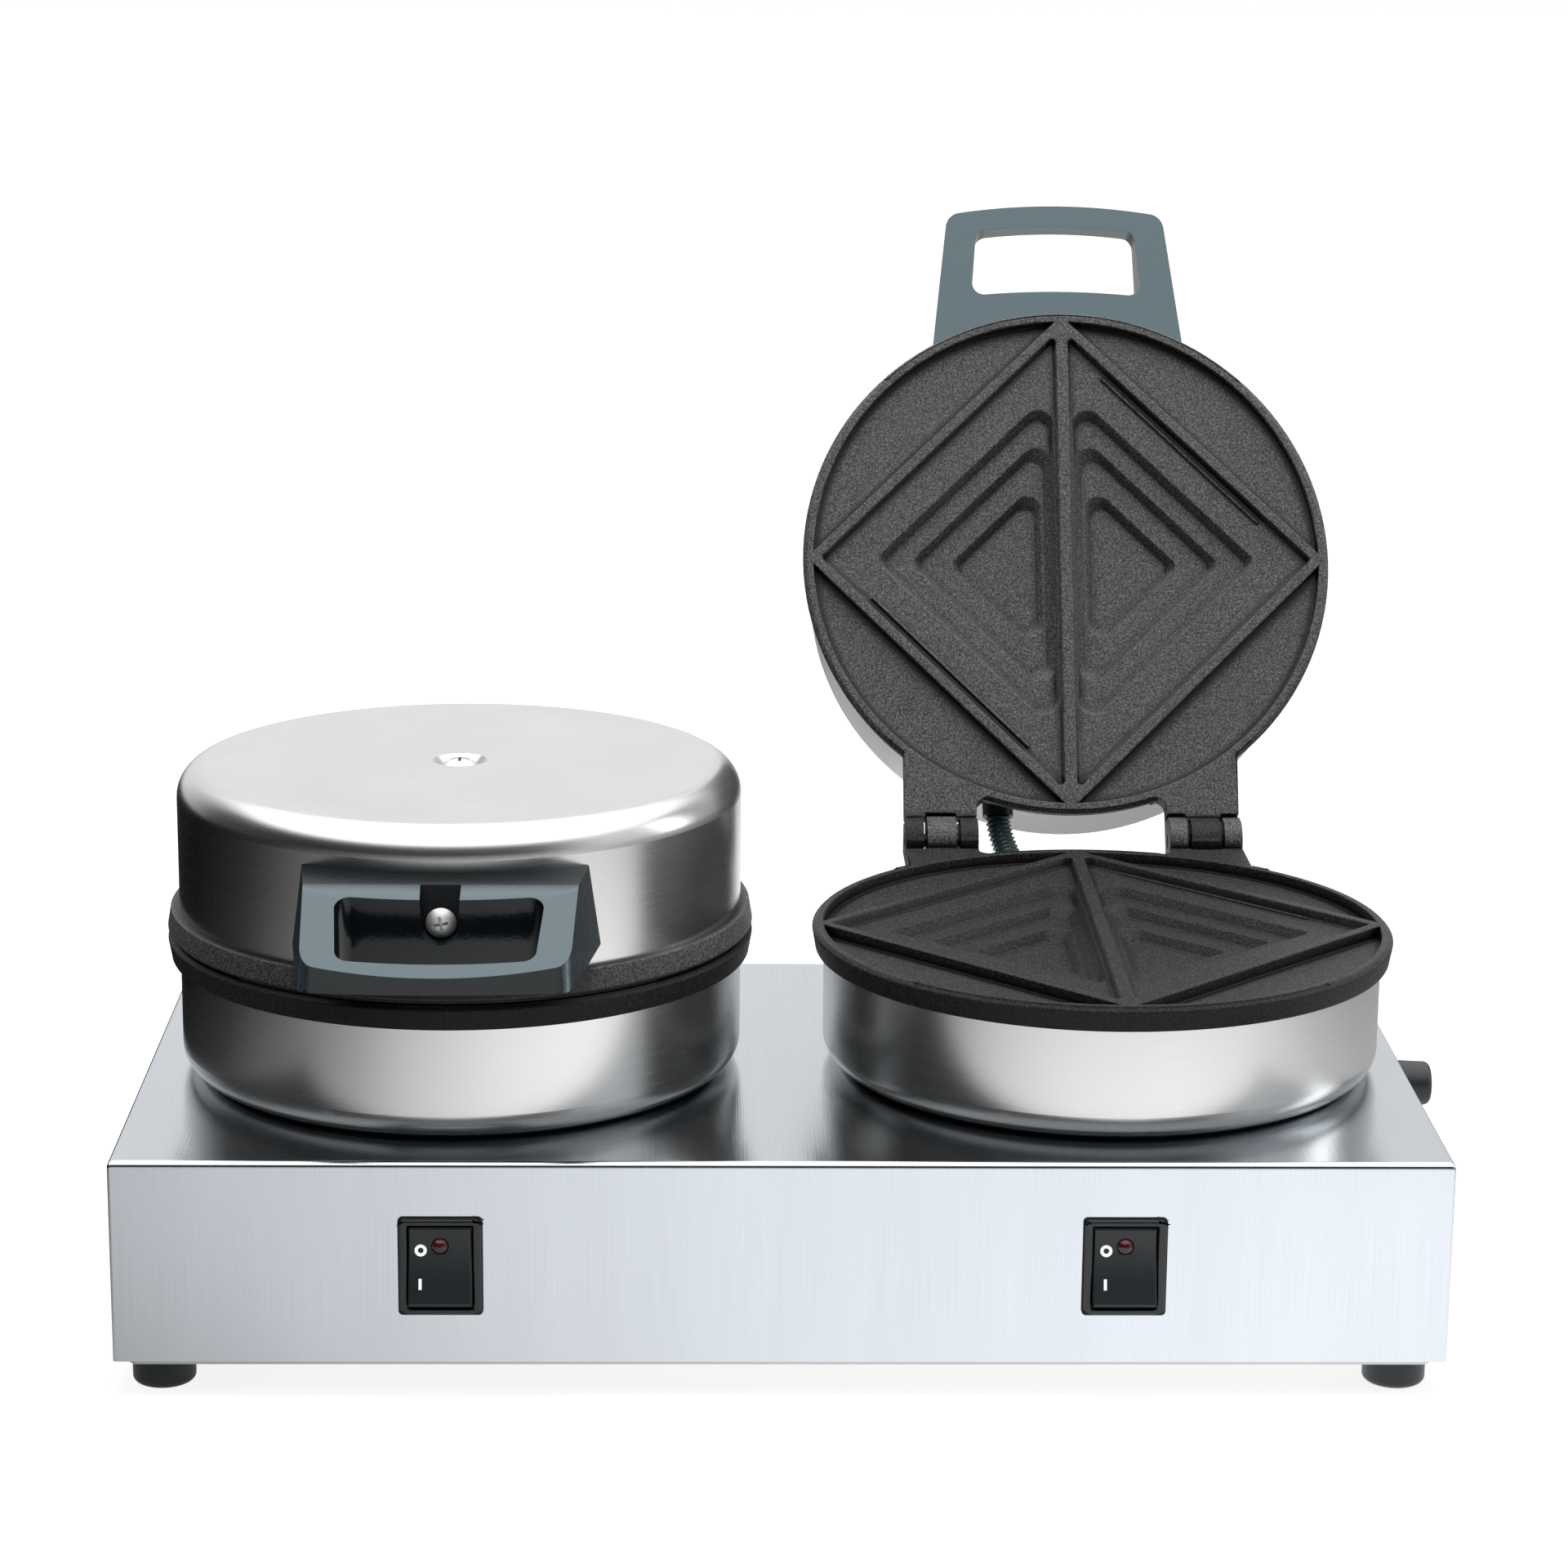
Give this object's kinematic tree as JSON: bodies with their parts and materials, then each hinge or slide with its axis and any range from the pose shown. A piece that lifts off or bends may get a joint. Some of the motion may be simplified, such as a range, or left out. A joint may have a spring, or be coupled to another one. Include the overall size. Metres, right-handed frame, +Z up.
{
  "type": "contact grill",
  "caption": "Countertop grill with two round cooking units, each with a hinged lid and ribbed plates that seal and halve a sandwich, on one steel base with rocker switches.",
  "frame": {"origin": "on the surface that the feet stand on, below the middle of the space that the grill takes with its right lid open", "axes": "+X along the base to the right as seen from the switches, +Y to the back, +Z up"},
  "size_m": [0.4354, 0.3972, 0.3386],
  "materials": {
    "housing_steel": "vertically brushed stainless sheet",
    "floor_steel": "plain mill-finish sheet",
    "screw_steel": "bright zinc-plated steel",
    "pin_steel": "ground steel",
    "terminal_plastic": "natural nylon",
    "terminal_brass": "plain",
    "gland_plastic": "moulded black nylon",
    "gland_washer_plastic": "light grey",
    "foot_rubber": "moulded",
    "switch_plastic": "gloss black",
    "rocker_plastic": "satin black",
    "neon_red": "translucent red",
    "lower_shell_steel": "satin drawn stainless",
    "lid_steel": "satin drawn stainless",
    "lower_casting": "speckled charcoal non-stick coat on cast aluminium",
    "upper_casting": "speckled charcoal non-stick coat on cast aluminium",
    "element_steel": "oxidised sheath",
    "thermostat_aluminium": "plain",
    "collar_plastic": "moulded",
    "conduit_plastic": "dark ribbed polyamide",
    "handle_plastic": "moulded phenolic, satin outside"
  },
  "bodies": {
    "base": {"base_housing": "housing_steel", "base_plate": "floor_steel", "base_plate_screws": "screw_steel", "foot_screws": "screw_steel", "foot_nuts": "screw_steel", "terminal_block": "terminal_plastic", "cable_gland": "gland_plastic", "gland_washer": "gland_washer_plastic", "gland_locknut": "gland_plastic", "front_left_foot": "foot_rubber", "front_right_foot": "foot_rubber", "rear_left_foot": "foot_rubber", "rear_right_foot": "foot_rubber", "left_switch_bezel": "switch_plastic", "left_switch_terminals": "terminal_brass", "left_lower_shell": "lower_shell_steel", "left_lower_plate": "lower_casting", "left_lower_element": "element_steel", "left_thermostat": "thermostat_aluminium", "left_lower_bolt": "screw_steel", "left_hinge_pins": "pin_steel", "left_lower_conduit_collar": "collar_plastic", "left_conduit": "conduit_plastic", "right_switch_bezel": "switch_plastic", "right_switch_terminals": "terminal_brass", "right_lower_shell": "lower_shell_steel", "right_lower_plate": "lower_casting", "right_lower_element": "element_steel", "right_thermostat": "thermostat_aluminium", "right_lower_bolt": "screw_steel", "right_hinge_pins": "pin_steel", "right_lower_conduit_collar": "collar_plastic", "right_conduit": "conduit_plastic"},
    "left_lid": {"left_upper_shell": "lid_steel", "left_upper_plate": "upper_casting", "left_upper_element": "element_steel", "left_lid_screw": "screw_steel", "left_handle": "handle_plastic", "left_handle_screw": "screw_steel", "left_handle_backing": "screw_steel", "left_upper_conduit_collar": "collar_plastic"},
    "left_switch": {"left_rocker": "rocker_plastic", "left_neon_lens": "neon_red"},
    "right_lid": {"right_upper_shell": "lid_steel", "right_upper_plate": "upper_casting", "right_upper_element": "element_steel", "right_lid_screw": "screw_steel", "right_handle": "handle_plastic", "right_handle_screw": "screw_steel", "right_handle_backing": "screw_steel", "right_upper_conduit_collar": "collar_plastic"},
    "right_switch": {"right_rocker": "rocker_plastic", "right_neon_lens": "neon_red"}
  },
  "joints": [
    {"name": "left_lid_hinge", "type": "hinge", "parent": "base", "child": "left_lid", "pos_m": [-0.11355, 0.0563, 0.1247], "axis": [-1, 0, 0], "range_deg": [0, 119], "deforming": ["left_conduit"]},
    {"name": "left_switch_rock", "type": "hinge", "parent": "base", "child": "left_switch", "pos_m": [-0.11475, -0.1596, 0.044], "axis": [1, 0, 0], "range_deg": [0, 20]},
    {"name": "right_lid_hinge", "type": "hinge", "parent": "base", "child": "right_lid", "pos_m": [0.10045, 0.0563, 0.1247], "axis": [-1, 0, 0], "range_deg": [-119, 0], "deforming": ["right_conduit"]},
    {"name": "right_switch_rock", "type": "hinge", "parent": "base", "child": "right_switch", "pos_m": [0.09925, -0.1596, 0.044], "axis": [1, 0, 0], "range_deg": [0, 20]}
  ]
}
